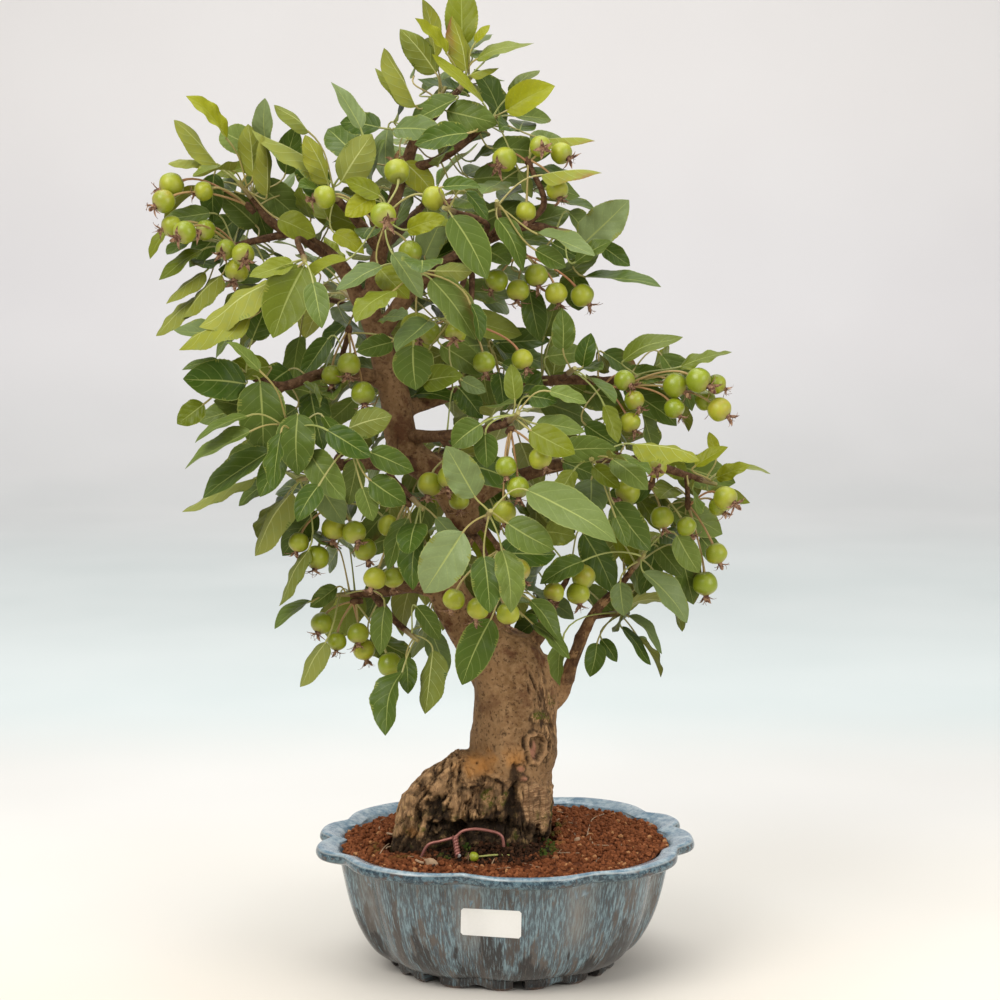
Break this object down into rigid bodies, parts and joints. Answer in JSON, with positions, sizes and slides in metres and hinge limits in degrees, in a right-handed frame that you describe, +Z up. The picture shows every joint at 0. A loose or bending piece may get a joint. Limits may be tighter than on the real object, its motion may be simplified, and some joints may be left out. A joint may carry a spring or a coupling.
{
  "type": "hall crabapple bonsai",
  "caption": "Fruiting crabapple trained as a bonsai: thick flared trunk, leafy crown with small green apples, in a lobed oval glazed pot of granular soil.",
  "frame": {"origin": "centre of the whole part's bounding box, at the level of the pot's feet", "axes": "+Z up; the picture's view looks along +Y; +X to the viewer's right"},
  "size_m": [0.415, 0.3076, 0.6686],
  "materials": {
    "pot_glaze": "gloss",
    "soil": "matte",
    "mesh_plastic": "matte",
    "bark": "matte",
    "wire": "satin",
    "leaf": "satin",
    "crabapple": "satin"
  },
  "bodies": {
    "root": {"anchor_wire": "wire", "drainage_mesh_left": "mesh_plastic", "drainage_mesh_right": "mesh_plastic", "fallen_crabapple": "crabapple", "fruit_bottom_left": "crabapple", "fruit_crown": "crabapple", "fruit_front_low": "crabapple", "fruit_front_mid": "crabapple", "fruit_heart": "crabapple", "fruit_inner_low": "crabapple", "fruit_left_high": "crabapple", "fruit_left_inner": "crabapple", "fruit_left_low": "crabapple", "fruit_left_under": "crabapple", "fruit_low_mid": "crabapple", "fruit_right_cluster": "crabapple", "fruit_right_far": "crabapple", "fruit_right_high": "crabapple", "fruit_right_mid": "crabapple", "fruit_right_tip": "crabapple", "fruit_shoulder": "crabapple", "fruit_trunk_side": "crabapple", "leaves_apex_left": "leaf", "leaves_apex_right": "leaf", "leaves_apex_top": "leaf", "leaves_back_crown": "leaf", "leaves_back_high": "leaf", "leaves_back_left": "leaf", "leaves_back_low": "leaf", "leaves_back_right": "leaf", "leaves_crown_fore": "leaf", "leaves_crown_front": "leaf", "leaves_crown_left": "leaf", "leaves_crown_mid": "leaf", "leaves_crown_right": "leaf", "leaves_front_bottom": "leaf", "leaves_front_low": "leaf", "leaves_front_mid": "leaf", "leaves_heart": "leaf", "leaves_left_bottom": "leaf", "leaves_left_front": "leaf", "leaves_left_low": "leaf", "leaves_left_mid": "leaf", "leaves_left_tips": "leaf", "leaves_low_inner": "leaf", "leaves_low_left": "leaf", "leaves_low_right": "leaf", "leaves_low_under": "leaf", "leaves_mid_left": "leaf", "leaves_right_low": "leaf", "leaves_right_mid": "leaf", "leaves_right_tip": "leaf", "leaves_right_tips": "leaf", "leaves_right_upper": "leaf", "leaves_shoulder": "leaf", "leaves_trunk_front": "leaf", "pot": "pot_glaze", "soil": "soil", "trunk": "bark"}
  },
  "joints": []
}
